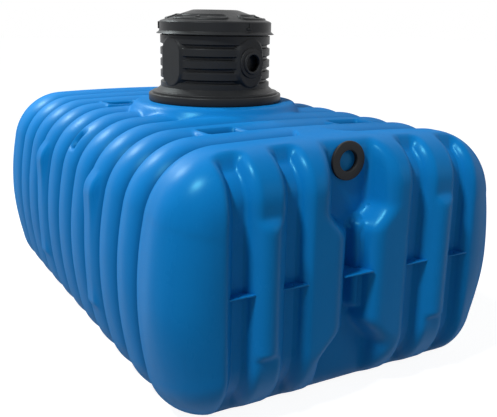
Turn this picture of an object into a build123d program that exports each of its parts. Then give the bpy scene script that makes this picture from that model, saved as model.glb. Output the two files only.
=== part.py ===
from build123d import *
from math import asin, atan2, cos, pi, radians, sin, sqrt, tan
import os

# All sizes are millimetres. X runs across the tank, Y along it with the inlet end at -Y, and Z up
# from the floor. Heights of the tank's own features are measured from its parting plane.

# Tank body
half_width = 1118.0  # centre plane to the crest of a ring rib
lower_height = 738.0  # floor to the parting plane
upper_height = 700.0  # parting plane to the crown
corner_radius = 420.0
base_corner_radius = 335.0
side_turn = 12.5  # how far the bowed sides turn either way from upright, in degrees
crown_turn = 2.5  # how far the domed top turns either way from level, in degrees
wall = 12.0

# Facets of one cross-section
corner_steps = 4
side_steps = 2
crown_steps = 1

# Ring ribs around the body, scalloped with sharp valleys
ring_count = 9
ring_pitch = 268.7
ring_depth = 50.0
inner_ring_shares = (-1.0, -0.55, 0.0, 0.55)
outer_ring_shares = (-1.0, -0.6, -0.2, 0.2, 0.6)  # facet edges, from a valley at -1 over the crest at 0
manway_rings = 5  # rings of the section under the riser

# Rounded ends
end_length = 456.0  # last ring valley to the end face
end_shoulder = 60.0  # last ring valley to the full section of the end
end_round_length = 270.0
end_round_side = 330.0
end_round_top = 250.0
end_round_base = 290.0
end_round_steps = 3

# Vertical grooves in both ends
groove_places = (-700.0, -401.0, 401.0, 700.0)
groove_mouth = 145.0
groove_floor = 62.0
groove_depth = 64.0
groove_setback = 60.0  # start of the end's rounding to the head of a groove
cutter_reach = 60.0  # how far cutters pass the surface that they cut

# Central recess of both ends, as half widths at the end face
recess_depth = 165.0
recess_draft = 55.0  # how much each side draws in from mouth to floor
recess_head_half_width = 200.0
recess_waist_half_width = 98.0
recess_foot_half_width = 230.0
recess_waist_top = 353.0
recess_waist_shoulder = 218.0
recess_waist_hip = -285.0
recess_waist_foot = -455.0

# Raised columns on the ribs between the outer grooves
column_inner_edge = 500.0
column_outer_edge = 626.0
column_top = 385.0
column_foot = -350.0
column_rise = 25.0
column_slope = 8.0
column_shoulder = 75.0

# Upright bars on two ring ribs of each side
bar_rings = (-2, 2)
bar_half_width = 52.0
bar_top = 420.0
bar_foot = -370.0
bar_face = 1106.0
bar_root = 1025.0
bar_slope = 16.0

# Strap notches in the shoulders of the middle ring
notch_half_width = 42.0
notch_wall = 930.0
notch_ledge = 470.0

# Lifting pockets in the top: centre across, centre along
front_pocket = (445.0, -950.0)
back_pocket = (480.0, 545.0)
pocket_length = 200.0
pocket_width = 150.0
pocket_draft = 34.0
pocket_floor = 600.0

# Wedge that bridges the last valley behind the inlet
bridge_front = 1400.0
bridge_back = 1080.0
bridge_front_half_width = 225.0
bridge_back_half_width = 65.0
bridge_foot = 560.0
bridge_drop = 3.0

# Web tabs across the grooves at the parting plane
tab_thickness = 8.0
tab_setback = 3.0
tab_hole_radius = 9.0
tab_hole_sides = 12

# Inlet near the top of the front recess
inlet_height = 581.0
inlet_bore_radius = 56.5
inlet_wall_hole_radius = 72.0
inlet_seal_radius = 105.0
inlet_seal_thickness = 16.0
inlet_sleeve_overhang = 14.0
seal_clearance = 0.3

# Flat sides of everything turned about the riser's axis
riser_sides = 32

# Platform and neck under the riser
platform_top = 740.0
platform_foot = 600.0
platform_top_radius = 545.0
platform_foot_radius = 630.0
neck_radius = 384.0
neck_top = 800.0

# Flange and gasket that stand on the platform around the neck
gasket_inner_radius = 402.0
gasket_outer_radius = 440.0
gasket_thickness = 4.0
flange_radius = 453.0
flange_thickness = 50.0

# Collar over the neck, between the flange and the shaft
ledge_radius = 428.0
ledge_height = 14.0
collar_waist_radius = 404.0
collar_top = 838.0
collar_clearance = 4.0

# Riser shaft, turned a little about its axis
riser_turn = 11.5
shaft_crest_radius = 371.0
shaft_notch_radius = 354.0
shaft_bore_radius = 344.0
shaft_height = 340.0
shaft_notches = 4
shaft_notch_height = 26.0
shaft_notch_pitch = 74.5
shaft_first_notch = 47.0
spigot_radius = 358.0
spigot_height = 77.0

# Flat oval pads on the shaft, one of them bored for a pipe
pad_count = 4
pad_width = 190.0
pad_height = 306.0
pad_face = 373.0  # riser axis to the face of a pad
pad_flare = 48.0  # how far the sides of a pad lean outwards, in degrees
branch_bore_radius = 54.0
branch_seal_inner_radius = 70.0
branch_seal_outer_radius = 95.0
branch_seal_thickness = 10.0
branch_lip_thickness = 20.0
pad_steps = 5  # facets of each rounded end

# Cover over the spigot
cover_clearance = 5.5
cover_side_radius = 378.0
cover_skirt_radius = 400.0
cover_skirt_height = 18.0
cover_skirt_gap = 5.5
cover_seat_gap = 0.3
cover_shoulder_radius = 370.0
cover_shoulder_height = 1268.0
cover_edge_drop = 8.0
cover_top_radius = 150.0
cover_top_height = 1340.0

# Raised panels around the cover, and its lock lugs
panel_count = 4
panel_turn = -49.0
panel_span = 60.0
panel_ring_radius = 298.0
panel_width = 84.0
panel_rise = 9.0
panel_steps = 6  # facets of each long side
panel_end_steps = 3
lug_turns = (7.0, 127.0, 247.0)
lug_width = 30.0
lug_height = 46.0
lug_face = 386.0

os.makedirs("parts", exist_ok=True)

ring_arc_radius = ((ring_pitch / 2) ** 2 + ring_depth**2) / (2 * ring_depth)
body_half = ring_count * ring_pitch / 2
manway_half = manway_rings * ring_pitch / 2
end_face = body_half + end_length


def arc_points(centre, radius, start, end, steps):
    """Evenly turned points along an arc, with its angles in degrees."""
    turns = [radians(start + (end - start) * step / steps) for step in range(steps + 1)]
    return [(centre[0] + radius * cos(turn), centre[1] + radius * sin(turn)) for turn in turns]


def flat_faced(rings):
    """Solid with flat faces through a run of rings, their points in the same order."""
    faces = [Face(Wire.make_polygon(rings[0])), Face(Wire.make_polygon(rings[-1]))]
    for near, far in zip(rings, rings[1:]):
        for point in range(len(near)):
            faces.append(Face(Wire.make_polygon((near[point - 1], near[point], far[point], far[point - 1]))))
    return Solid(Shell(faces))


def body_outline(side, top, base):
    """Corners of one cross-section, drawn in by side across, by top at the crown and by base below."""
    width, rise = half_width - side, upper_height - top
    corner, base_corner = corner_radius - top, base_corner_radius - base
    lean, brow = radians(side_turn), tan(radians(crown_turn / 2))
    spare = rise + lower_height - base - corner - base_corner + (corner + base_corner) * sin(lean)
    side_radius = (spare - brow * (width - corner * cos(lean))) / (2 * sin(lean) - brow * (1 - cos(lean)))
    bow = side_radius * (1 - cos(lean))
    corner_centre = width - corner * cos(lean) - bow
    corner_level = rise - corner - corner_centre * brow
    base_centre = (width - base_corner * cos(lean) - bow, base_corner + base - lower_height)
    side_centre = (width - side_radius, corner_level - (side_radius - corner) * sin(lean))
    crown_radius = corner_centre / sin(radians(crown_turn)) + corner
    right = arc_points(base_centre, base_corner, -90, -side_turn, corner_steps)
    right += arc_points(side_centre, side_radius, -side_turn, side_turn, side_steps)[1:]
    right += arc_points((corner_centre, corner_level), corner, side_turn, 90 - crown_turn, corner_steps)[1:]
    right += arc_points((0, rise - crown_radius), crown_radius, 90 - crown_turn, 90, crown_steps)[1:-1]
    return right + [(0, rise)] + [(-x, z) for x, z in reversed(right)]


def body_solid(stations):
    """Solid through the cross-sections at the stations, each a place along Y and three insets."""
    rings = []
    for place, side, top, base in stations:
        rings.append([(x, place, z) for x, z in body_outline(side, top, base)])
    return flat_faced(rings)


def ring_stations(first, rings, skin):
    """Stations along a run of scalloped rings that starts at a valley, for a surface skin deep."""
    shares = inner_ring_shares if skin else outer_ring_shares
    radius = ring_arc_radius - skin
    half_turn = asin(ring_pitch / 2 / radius)
    crest = radius * cos(half_turn * min(abs(share) for share in shares))
    stations = []
    for ring in range(rings):
        middle = first + (ring + 0.5) * ring_pitch
        for share in shares + (1.0,) * (ring == rings - 1):
            inset = skin + crest - radius * cos(half_turn * share)
            stations.append((middle + radius * sin(half_turn * share), inset, inset, inset))
    return stations


def rounding(turn, skin):
    """Place along Y of the end's rounding at an angle from its start, with its three insets there."""
    place = end_face - end_round_length + (end_round_length - skin) * sin(turn)
    reaches = (end_round_side, end_round_top, end_round_base)
    insets = [skin + (reach - skin) * (1 - cos(turn)) for reach in reaches]
    return (place, *insets)


def end_stations(skin):
    """Stations of the back end, from its valley to its face."""
    valley_inset = ring_stations(0, 1, skin)[0][1]
    stations = [(body_half, *[valley_inset] * 3), (body_half + end_shoulder, *[skin] * 3)]
    turns = [radians(90 * step / end_round_steps) for step in range(end_round_steps + 1)]
    return stations + [rounding(turn, skin) for turn in turns]


def moved_sideways(points, distance):
    """The inner corners of a polyline after each edge moves to its right by a distance."""
    moved = []
    for before, here, after in zip(points, points[1:], points[2:]):
        arriving = atan2(here[1] - before[1], here[0] - before[0])
        leaving = atan2(after[1] - here[1], after[0] - here[0])
        reach = distance / cos((leaving - arriving) / 2)
        turn = (leaving + arriving) / 2 - pi / 2
        moved.append((here[0] + reach * cos(turn), here[1] + reach * sin(turn)))
    return moved


def groove_cutter(middle, skin):
    """Vertical groove with sloping flanks: its floor follows the end's rounding above and drops straight."""
    run = (groove_mouth - groove_floor) / 2 / groove_depth
    corner_shift = skin * (sqrt(1 + run**2) - run)
    turns = [radians(90 * step / end_round_steps) for step in range(end_round_steps + 1)]
    profile = [(0, upper_height), (body_half, upper_height)]
    for turn in turns:
        place, _, top, _ = rounding(turn, 0)
        profile.append((place, upper_height - top))
    profile.append((end_face, -lower_height))
    far = end_face + cutter_reach
    walls = []
    outer_half = groove_mouth / 2 + run * cutter_reach
    for depth, half in ((-cutter_reach, outer_half), (groove_depth, groove_floor / 2)):
        corners = moved_sideways(profile, depth + skin)
        first, last = corners[0], corners[-1]
        corners += [(last[0], -far), (far + cutter_reach, -far), (far + cutter_reach, far), (first[0], far)]
        walls.append((half + corner_shift, corners))
    mouth, floor = walls
    rings = []
    for half, corners in (mouth, floor):
        rings.append([(middle - half, place, level) for place, level in corners])
    for half, corners in (floor, mouth):
        rings.append([(middle + half, place, level) for place, level in corners])
    groove = flat_faced(rings)
    head = end_face - end_round_length + groove_setback - skin
    with BuildPart() as cutter:
        add(groove)
        split(bisect_by=Plane.XZ.offset(-head), keep=Keep.BOTTOM)
    return cutter.part


def recess_cutter(skin):
    """Central recess with drafted sides: wide at the inlet, waisted, and spread at the foot."""
    reach = upper_height + lower_height
    rings = []
    for outward in (-recess_depth - skin, cutter_reach):
        grow = skin + recess_draft / recess_depth * outward
        right = [
            (recess_head_half_width + grow, reach),
            (recess_head_half_width + grow, recess_waist_top),
            (recess_waist_half_width + grow, recess_waist_shoulder),
            (recess_waist_half_width + grow, recess_waist_hip),
            (recess_foot_half_width + grow, recess_waist_foot),
            (recess_foot_half_width + grow, -reach),
        ]
        outline = right + [(-x, z) for x, z in reversed(right)]
        rings.append([(x, end_face + outward, z) for x, z in outline])
    return flat_faced(rings)


def tapered_block(near, far):
    """Block between two upright or two level rectangles, each given by opposite corners."""
    rings = []
    for (x0, y0, z0), (x1, y1, z1) in (near, far):
        if z0 == z1:
            rings.append([(x0, y0, z0), (x1, y0, z0), (x1, y1, z0), (x0, y1, z0)])
        else:
            rings.append([(x0, y0, z0), (x1, y1, z0), (x1, y1, z1), (x0, y0, z1)])
    return flat_faced(rings)


def column(skin):
    """Raised column with sloping edges on the rib between two grooves of the back end."""
    rectangles = []
    for side in (-1, 1):
        place = end_face + side * column_rise - skin
        inner = column_inner_edge + side * column_slope + skin
        outer = column_outer_edge - side * column_slope - skin
        foot = column_foot + side * column_slope + skin
        head = column_top - side * column_shoulder - skin
        rectangles.append(((inner, place, foot), (outer, place, head)))
    return tapered_block(*rectangles)


def upright_bar(ring, skin):
    """Bar with a flat face that stands out of a ring rib on the right side."""
    rectangles = []
    for across, slope in ((bar_root, bar_slope), (bar_face - skin, 0)):
        half = bar_half_width - skin + slope
        near = (across, ring * ring_pitch - half, bar_foot + skin - slope)
        rectangles.append((near, (across, ring * ring_pitch + half, bar_top - skin + slope)))
    return tapered_block(*rectangles)


def pocket_cutter(place, skin):
    """Lifting pocket with drafted walls."""
    rectangles = []
    for level, draft in ((pocket_floor - skin, 0), (upper_height + cutter_reach, pocket_draft)):
        length, width = pocket_length / 2 + skin + draft, pocket_width / 2 + skin + draft
        near = (place[0] - length, place[1] - width, level)
        rectangles.append((near, (place[0] + length, place[1] + width, level)))
    return tapered_block(*rectangles)


def bridge(skin):
    """Wedge across the last valley behind the inlet, narrowing towards the riser."""
    front_half, back_half = bridge_front_half_width - skin, bridge_back_half_width - skin
    with BuildPart() as wedge:
        with BuildSketch(Plane.XY.offset(bridge_foot)):
            with BuildLine():
                Polyline(
                    (-front_half, -bridge_front + skin),
                    (front_half, -bridge_front + skin),
                    (back_half, -bridge_back - skin),
                    (-back_half, -bridge_back - skin),
                    close=True,
                )
            make_face()
        extrude(amount=upper_height - bridge_drop - skin - bridge_foot)
    return wedge.part


def back_end_solid(skin):
    """The back end as a solid, for a surface skin deep."""
    body = body_solid(end_stations(skin))
    raised = column(skin)
    cutters = [groove_cutter(middle, skin) for middle in groove_places] + [recess_cutter(skin)]
    with BuildPart() as solid:
        add(body)
        add(cutters, mode=Mode.SUBTRACT)
        add(raised)
        mirror(raised, about=Plane.YZ)
    return solid.part


def front_end_solid(back, skin):
    """The front end: the back end turned about, with the bridge behind the inlet."""
    wedge = bridge(skin)
    with BuildPart() as solid:
        mirror(back, about=Plane.XZ)
        add(wedge)
        split(bisect_by=Plane.XZ.offset(body_half), keep=Keep.TOP)
    return solid.part


def back_section_solid(skin):
    """Plain rings between the manway section and the back end."""
    rings = (ring_count - manway_rings) // 2
    return body_solid(ring_stations(manway_half, rings, skin))


def front_section_solid(skin):
    """Rings between the manway section and the front end, with two lifting pockets."""
    back = back_section_solid(skin)
    wedge = bridge(skin)
    pocket = pocket_cutter(front_pocket, skin)
    with BuildPart() as solid:
        mirror(back, about=Plane.XZ)
        add(wedge)
        split(bisect_by=Plane.XZ.offset(body_half), keep=Keep.BOTTOM)
        add(pocket, mode=Mode.SUBTRACT)
        mirror(pocket, about=Plane.YZ, mode=Mode.SUBTRACT)
    return solid.part


def turned(profile):
    """Solid about the riser's axis, through rings given as radius and height."""
    first = riser_turn + 180 / riser_sides
    rings = []
    for radius, height in profile:
        ring = arc_points((0, 0), radius, first, first + 360, riser_sides)[:-1]
        rings.append([(x, y, height) for x, y in ring])
    return flat_faced(rings)


def manway_section_solid(skin):
    """Middle rings with the round platform, the upright bars, the strap notches and two pockets."""
    body = body_solid(ring_stations(-manway_half, manway_rings, skin))
    bars = [upright_bar(ring, skin) for ring in bar_rings]
    pocket = pocket_cutter(back_pocket, skin)
    platform_base = (platform_foot_radius - skin, platform_foot - skin)
    platform = turned([platform_base, (platform_top_radius - skin, platform_top - skin)])
    notch_middle, notch_centre = notch_wall - skin + half_width / 2, notch_ledge - skin + half_width / 2
    with BuildPart() as solid:
        add(body)
        for bar in bars:
            add(bar)
            mirror(bar, about=Plane.YZ)
        add(platform)
        with BuildSketch(Plane.XZ):
            for side in (-1, 1):
                with Locations((side * notch_middle, notch_centre)):
                    Rectangle(half_width, half_width)
        extrude(amount=notch_half_width + skin, both=True, mode=Mode.SUBTRACT)
        add(pocket, mode=Mode.SUBTRACT)
        mirror(pocket, about=Plane.YZ, mode=Mode.SUBTRACT)
    return solid.part


def save(piece, name):
    """Label a finished piece and write its file."""
    piece.label = name
    export_step(piece, f"parts/{name}.step")


def save_halves(shell, name):
    """Part a shell at the parting plane, set both halves on the floor and write them."""
    for half, keep in (("upper", Keep.TOP), ("lower", Keep.BOTTOM)):
        with BuildPart() as piece:
            add(shell)
            split(bisect_by=Plane.XY, keep=keep)
        save(Pos(0, 0, lower_height) * piece.part, f"{half}_{name}")


# The five lengths of the tank's wall, each the space between an outer and an inner solid.
back_outside, back_inside = back_end_solid(0), back_end_solid(wall)
with BuildPart() as back_end:
    add(back_outside)
    add(back_inside, mode=Mode.SUBTRACT)
save_halves(back_end.part, "back_end")

front_outside, front_inside = front_end_solid(back_outside, 0), front_end_solid(back_inside, wall)
with BuildPart() as front_end:
    add(front_outside)
    add(front_inside, mode=Mode.SUBTRACT)
    with BuildSketch(Plane.XZ.offset(end_face)):
        with Locations((0, inlet_height)):
            Circle(inlet_wall_hole_radius)
    extrude(amount=-recess_depth - 2 * wall, mode=Mode.SUBTRACT)
save_halves(front_end.part, "front_end")

front_section_outside, front_section_inside = front_section_solid(0), front_section_solid(wall)
with BuildPart() as front_section:
    add(front_section_outside)
    add(front_section_inside, mode=Mode.SUBTRACT)
save_halves(front_section.part, "front_section")

back_section_outside, back_section_inside = back_section_solid(0), back_section_solid(wall)
with BuildPart() as back_section:
    add(back_section_outside)
    add(back_section_inside, mode=Mode.SUBTRACT)
save_halves(back_section.part, "back_section")

manway_outside, manway_inside = manway_section_solid(0), manway_section_solid(wall)
neck = turned([(neck_radius, platform_foot), (neck_radius, neck_top)])
neck_way = turned([(neck_radius - wall, platform_foot - 2 * wall), (neck_radius - wall, neck_top)])
with BuildPart() as manway_section:
    add(manway_outside)
    add(neck)
    add(manway_inside, mode=Mode.SUBTRACT)
    add(neck_way, mode=Mode.SUBTRACT)
save_halves(manway_section.part, "manway_section")

# Web tabs: flat plates across each groove and the recess, with one small hole in each groove's.
tab_front_half = (groove_mouth - (groove_mouth - groove_floor) * tab_setback / groove_depth) / 2
recess_floor_half = recess_waist_half_width - recess_draft
recess_front_half = recess_waist_half_width - recess_draft * tab_setback / recess_depth
with BuildPart() as back_web_tabs:
    with BuildSketch(Plane.XY.offset(lower_height - tab_thickness / 2)):
        for middle in groove_places:
            with BuildLine():
                Polyline(
                    (middle - groove_floor / 2, end_face - groove_depth),
                    (middle + groove_floor / 2, end_face - groove_depth),
                    (middle + tab_front_half, end_face - tab_setback),
                    (middle - tab_front_half, end_face - tab_setback),
                    close=True,
                )
            make_face()
            with Locations((middle, end_face - groove_depth / 2)):
                RegularPolygon(tab_hole_radius, tab_hole_sides, mode=Mode.SUBTRACT)
        with BuildLine():
            Polyline(
                (-recess_floor_half, end_face - recess_depth),
                (recess_floor_half, end_face - recess_depth),
                (recess_front_half, end_face - tab_setback),
                (-recess_front_half, end_face - tab_setback),
                close=True,
            )
        make_face()
    extrude(amount=tab_thickness)
save(back_web_tabs.part, "back_web_tabs")
save(mirror(back_web_tabs.part, about=Plane.XZ), "front_web_tabs")

# Inlet seal: a rubber ring with a sleeve that lines the hole in the recess floor.
inlet_axis = Plane(
    origin=(0, recess_depth - end_face, lower_height + inlet_height), x_dir=(1, 0, 0), z_dir=(0, -1, 0)
)
sleeve_end = -wall - inlet_sleeve_overhang
with BuildPart() as inlet_seal:
    with BuildSketch(inlet_axis):
        RegularPolygon(inlet_seal_radius, riser_sides)
    extrude(amount=inlet_seal_thickness)
    with BuildSketch(inlet_axis):
        RegularPolygon(inlet_wall_hole_radius - seal_clearance, riser_sides)
    extrude(amount=sleeve_end)
    with BuildSketch(inlet_axis.offset(inlet_seal_thickness)):
        Circle(inlet_bore_radius)
    extrude(amount=sleeve_end - inlet_seal_thickness, mode=Mode.SUBTRACT)
save(inlet_seal.part, "inlet_seal")

# Gasket, flange and collar, stacked on the platform around the neck.
gasket_foot = lower_height + platform_top
flange_foot = gasket_foot + gasket_thickness
ledge_foot = flange_foot + flange_thickness
waist_foot = ledge_foot + ledge_height
shaft_foot = lower_height + collar_top
collar_inside = neck_radius + collar_clearance
gasket_ring = turned([(gasket_outer_radius, gasket_foot), (gasket_outer_radius, flange_foot)])
gasket_hole = turned([(gasket_inner_radius, gasket_foot), (gasket_inner_radius, flange_foot)])
with BuildPart() as collar_gasket:
    add(gasket_ring)
    add(gasket_hole, mode=Mode.SUBTRACT)
save(collar_gasket.part, "collar_gasket")

flange_ring = turned([(flange_radius, flange_foot), (flange_radius, ledge_foot)])
flange_hole = turned([(collar_inside, flange_foot), (collar_inside, ledge_foot)])
with BuildPart() as riser_flange:
    add(flange_ring)
    add(flange_hole, mode=Mode.SUBTRACT)
save(riser_flange.part, "riser_flange")

ledge = turned([(ledge_radius, ledge_foot), (ledge_radius, waist_foot)])
waist_rings = [(collar_waist_radius, ledge_foot), (collar_waist_radius, waist_foot)]
waist = turned(waist_rings + [(shaft_crest_radius, shaft_foot)])
collar_ceiling = lower_height + neck_top + collar_clearance
collar_hole = turned([(collar_inside, ledge_foot), (collar_inside, collar_ceiling)])
collar_way = turned([(shaft_bore_radius, ledge_foot), (shaft_bore_radius, shaft_foot)])
with BuildPart() as riser_collar:
    add(ledge)
    add(waist)
    add(collar_hole, mode=Mode.SUBTRACT)
    add(collar_way, mode=Mode.SUBTRACT)
save(riser_collar.part, "riser_collar")

# Ribbed shaft with its spigot, flat oval pads and the bored pad.
shaft_top = shaft_foot + shaft_height
spigot_top = shaft_top + spigot_height
shaft_profile = [(shaft_crest_radius, shaft_foot)]
for row in range(shaft_notches):
    notch = shaft_foot + shaft_first_notch + row * shaft_notch_pitch
    shaft_profile.append((shaft_crest_radius, notch - shaft_notch_height / 2))
    shaft_profile.append((shaft_notch_radius, notch))
    shaft_profile.append((shaft_crest_radius, notch + shaft_notch_height / 2))
shaft_profile.append((shaft_crest_radius, shaft_top))
shaft_body = turned(shaft_profile)
spigot = turned([(spigot_radius, shaft_foot), (spigot_radius, spigot_top)])
shaft_way = turned([(shaft_bore_radius, shaft_foot), (shaft_bore_radius, spigot_top)])
pad_middle = (shaft_foot + shaft_top) / 2
pad_planes = []
for pad in range(pad_count):
    turn = radians(riser_turn - 90 + 360 * pad / pad_count)
    pad_planes.append(
        Plane(origin=(0, 0, pad_middle), x_dir=(-sin(turn), cos(turn), 0), z_dir=(cos(turn), sin(turn), 0))
    )
pad_rings = []
for across in (shaft_notch_radius, pad_face):
    radius = pad_width / 2 + (pad_face - across) * tan(radians(pad_flare))
    straight = (pad_height - pad_width) / 2
    outline = arc_points((0, straight), radius, 0, 180, pad_steps)
    outline += arc_points((0, -straight), radius, 180, 360, pad_steps)
    pad_rings.append([(x, z, across) for x, z in outline])
oval_pad = flat_faced(pad_rings)
with BuildPart() as riser_shaft:
    add(shaft_body)
    add(spigot)
    for pad_plane in pad_planes:
        add(pad_plane.location * oval_pad)
    add(shaft_way, mode=Mode.SUBTRACT)
    with BuildSketch(pad_planes[0]):
        Circle(branch_bore_radius)
    extrude(amount=pad_face, mode=Mode.SUBTRACT)
save(riser_shaft.part, "riser_shaft")

branch_axis = pad_planes[0].offset(pad_face)
with BuildPart() as branch_seal:
    with BuildSketch(branch_axis):
        RegularPolygon(branch_seal_outer_radius, riser_sides)
    extrude(amount=branch_seal_thickness)
    with BuildSketch(branch_axis):
        RegularPolygon(branch_seal_inner_radius, riser_sides)
    extrude(amount=branch_lip_thickness)
    with BuildSketch(branch_axis):
        Circle(branch_bore_radius)
    extrude(amount=branch_lip_thickness, mode=Mode.SUBTRACT)
save(branch_seal.part, "branch_seal")

# Cover: a shallow cone with a skirt that hangs over the spigot.
cover_foot = shaft_top + cover_skirt_gap
cover_ceiling = spigot_top + cover_seat_gap
cover_inside = spigot_radius + cover_clearance
cover_shoulder = lower_height + cover_shoulder_height
cover_top = lower_height + cover_top_height
cover_body = turned(
    [
        (cover_skirt_radius, cover_foot),
        (cover_side_radius, cover_foot + cover_skirt_height),
        (cover_side_radius, cover_shoulder - cover_edge_drop),
        (cover_shoulder_radius, cover_shoulder),
        (cover_top_radius, cover_top),
    ]
)
cover_hollow = turned([(cover_inside, cover_foot), (cover_inside, cover_ceiling)])
with BuildPart() as cover:
    add(cover_body)
    add(cover_hollow, mode=Mode.SUBTRACT)
save(cover.part, "cover")

# Raised panels with rounded ends that follow the cover's cone.
cone_fall = (cover_top - cover_shoulder) / (cover_shoulder_radius - cover_top_radius)
cone_rings = [(cover_shoulder_radius, cover_shoulder), (cover_top_radius, cover_top)]
raised_rings = [(radius, height + panel_rise) for radius, height in cone_rings]
raised_cone = turned([(cover_shoulder_radius, cover_shoulder)] + raised_rings)
cone = turned(cone_rings)
with BuildPart() as cover_panels:
    with BuildSketch(Plane.XY.offset(cover_shoulder)):
        for panel in range(panel_count):
            turn = panel_turn - 90 + 360 * panel / panel_count
            first, last = turn - panel_span / 2, turn + panel_span / 2
            inner, outer = panel_ring_radius - panel_width / 2, panel_ring_radius + panel_width / 2
            first_end = (panel_ring_radius * cos(radians(first)), panel_ring_radius * sin(radians(first)))
            last_end = (panel_ring_radius * cos(radians(last)), panel_ring_radius * sin(radians(last)))
            with BuildLine():
                outer_side = arc_points((0, 0), outer, first, last, panel_steps)
                last_cap = arc_points(last_end, panel_width / 2, last, last + 180, panel_end_steps)[1:-1]
                inner_side = arc_points((0, 0), inner, last, first, panel_steps)
                first_cap = arc_points(first_end, panel_width / 2, first - 180, first, panel_end_steps)[1:-1]
                Polyline(*outer_side, *last_cap, *inner_side, *first_cap, close=True)
            make_face()
    extrude(amount=cover_top - cover_shoulder + panel_rise)
    add(raised_cone, mode=Mode.INTERSECT)
    add(cone, mode=Mode.SUBTRACT)
save(cover_panels.part, "cover_panels")

# Lock lugs on the cover's side, under its shoulder.
lug_head = cover_shoulder - cover_edge_drop
with BuildPart() as cover_lugs:
    for lug_turn in lug_turns:
        turn = radians(lug_turn - 90)
        lug_middle, outward = (0, 0, lug_head - lug_height / 2), (cos(turn), sin(turn), 0)
        lug_plane = Plane(origin=lug_middle, x_dir=(-sin(turn), cos(turn), 0), z_dir=outward)
        with BuildSketch(lug_plane.offset(lug_face)):
            Rectangle(lug_width, lug_height)
        extrude(amount=cover_inside - lug_face)
    add(cover_body, mode=Mode.SUBTRACT)
save(cover_lugs.part, "cover_lugs")
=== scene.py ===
import math

import bmesh
import bpy
import numpy as np
from mathutils import Matrix, Vector


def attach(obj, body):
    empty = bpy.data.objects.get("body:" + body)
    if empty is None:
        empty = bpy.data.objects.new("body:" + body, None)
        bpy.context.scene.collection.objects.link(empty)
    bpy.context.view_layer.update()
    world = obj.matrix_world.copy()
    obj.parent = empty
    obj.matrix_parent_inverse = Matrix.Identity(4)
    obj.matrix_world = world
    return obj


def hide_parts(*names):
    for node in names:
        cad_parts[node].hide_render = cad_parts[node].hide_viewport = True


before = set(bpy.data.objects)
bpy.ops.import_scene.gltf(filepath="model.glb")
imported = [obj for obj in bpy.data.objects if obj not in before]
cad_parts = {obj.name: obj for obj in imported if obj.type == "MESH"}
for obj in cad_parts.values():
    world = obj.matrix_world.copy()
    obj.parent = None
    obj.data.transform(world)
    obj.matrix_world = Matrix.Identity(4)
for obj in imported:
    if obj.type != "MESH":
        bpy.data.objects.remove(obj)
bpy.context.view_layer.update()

# Sizes in metres. Heights of the tank's own features are from its parting plane.
PARTING = 0.738
HALF_WIDTH, CROWN, BASE = 1.118, 0.70, -0.738
TOP_CORNER, BASE_CORNER = 0.42, 0.335
SIDE_TURN, CROWN_TURN = math.radians(12.5), math.radians(2.5)
WALL = 0.012

# Rings along the tank, and its ends with their rounded edges
PITCH, RING_DEPTH, RINGS = 0.2687, 0.05, 9
LAST_VALLEY = PITCH * RINGS / 2
END_FACE = LAST_VALLEY + 0.456
END_ROUND, ROUND_SIDE, ROUND_TOP, ROUND_BASE = 0.27, 0.29, 0.25, 0.29
FOOT_ROUND, FOOT_HEAD, FOOT_RANGE = 0.075, -0.05, 0.5
TAPER, TAPER_START, TAPER_RANGE, TAPER_CURVE = 0.014, 0.55, 0.8, 1.5

# Grooves and columns of each end, by their places across it
GROOVES, GROOVE_DEPTH = (-0.706, -0.401, 0.401, 0.706), 0.066
GROOVE_FLOOR, GROOVE_MOUTH, FLANK_CURVE = 0.036, 0.104, 2.1
GROOVE_HEAD, GROOVE_HEAD_RANGE = 1.462, 0.045
COLUMN, COLUMN_TOP, COLUMN_FOOT = 0.560, 0.372, -0.335
COLUMN_HALF_WIDTH, COLUMN_ROOT, COLUMN_RISE = 0.080, 0.045, 0.079
COLUMN_BACK = 0.09

# Middle recess of each end, by its half width and where that changes
RECESS_DEPTH, RECESS_DRAFT = 0.165, 0.333
RECESS_HEAD, RECESS_WAIST, RECESS_FOOT = 0.200, 0.098, 0.230
WAIST_SHOULDER, SHOULDER_RANGE = 0.205, 0.16
WAIST_HIP, HIP_RANGE = -0.27, 0.20
STEP_DEPTH, STEP_WIDTH, STEP_MIDDLE, STEP_HALF_HEIGHT = 0.085, 0.030, 0.02, 0.26
RECESS_FLOOR = END_FACE - RECESS_DEPTH

# Bars and notches of each side, and what stands on the top
BAR_RINGS, BAR_FACE, BAR_TOP, BAR_FOOT = (-2, 2), 1.106, 0.42, -0.37
BAR_DEPTH, BAR_HALF_WIDTH, BAR_EDGE, BAR_LEAN = 0.140, 0.040, 0.038, 1.2
NOTCH_WALL, NOTCH_FLOOR, NOTCH_HALF_WIDTH = 0.942, 0.482, 0.030
POCKETS = ((0.445, -0.95), (0.48, 0.545))
POCKET_FLOOR, POCKET_LEAN = 0.60, 0.034 / 0.16
PLATFORM, PLATFORM_RADIUS, PLATFORM_LEAN = 0.74, 0.545, 0.607
BRIDGE_TOP, BRIDGE_ENDS, BRIDGE_HALF_WIDTHS = 0.697, (-1.40, -1.08), (0.225, 0.065)

# Inlet, neck and riser
INLET, INLET_HOLE = 0.581, 0.072
NECK, NECK_TOP = 0.384, 0.80
RISER_TURN = math.radians(11.5)


def soft_min(a, b, k):
    """The smaller of two distances, with a fillet of size k where they meet."""
    h = np.clip(0.5 + 0.5 * (b - a) / k, 0, 1)
    return b + (a - b) * h - k * h * (1 - h)


def soft_max(a, b, k):
    """The larger of two distances, with a round of size k where they meet."""
    return -soft_min(-a, -b, k)


def ease(t):
    """0 below 0, 1 above 1, and a smooth step between."""
    t = np.clip(t, 0, 1)
    return t * t * (3 - 2 * t)


def block(p, centre, half):
    """Distance from a block, by its centre and half sizes."""
    q = [np.abs(a - c) - h for a, c, h in zip(p, centre, half)]
    outside = np.sqrt(sum(np.maximum(a, 0) ** 2 for a in q))
    return outside + np.minimum(np.maximum.reduce(q), 0)


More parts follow.
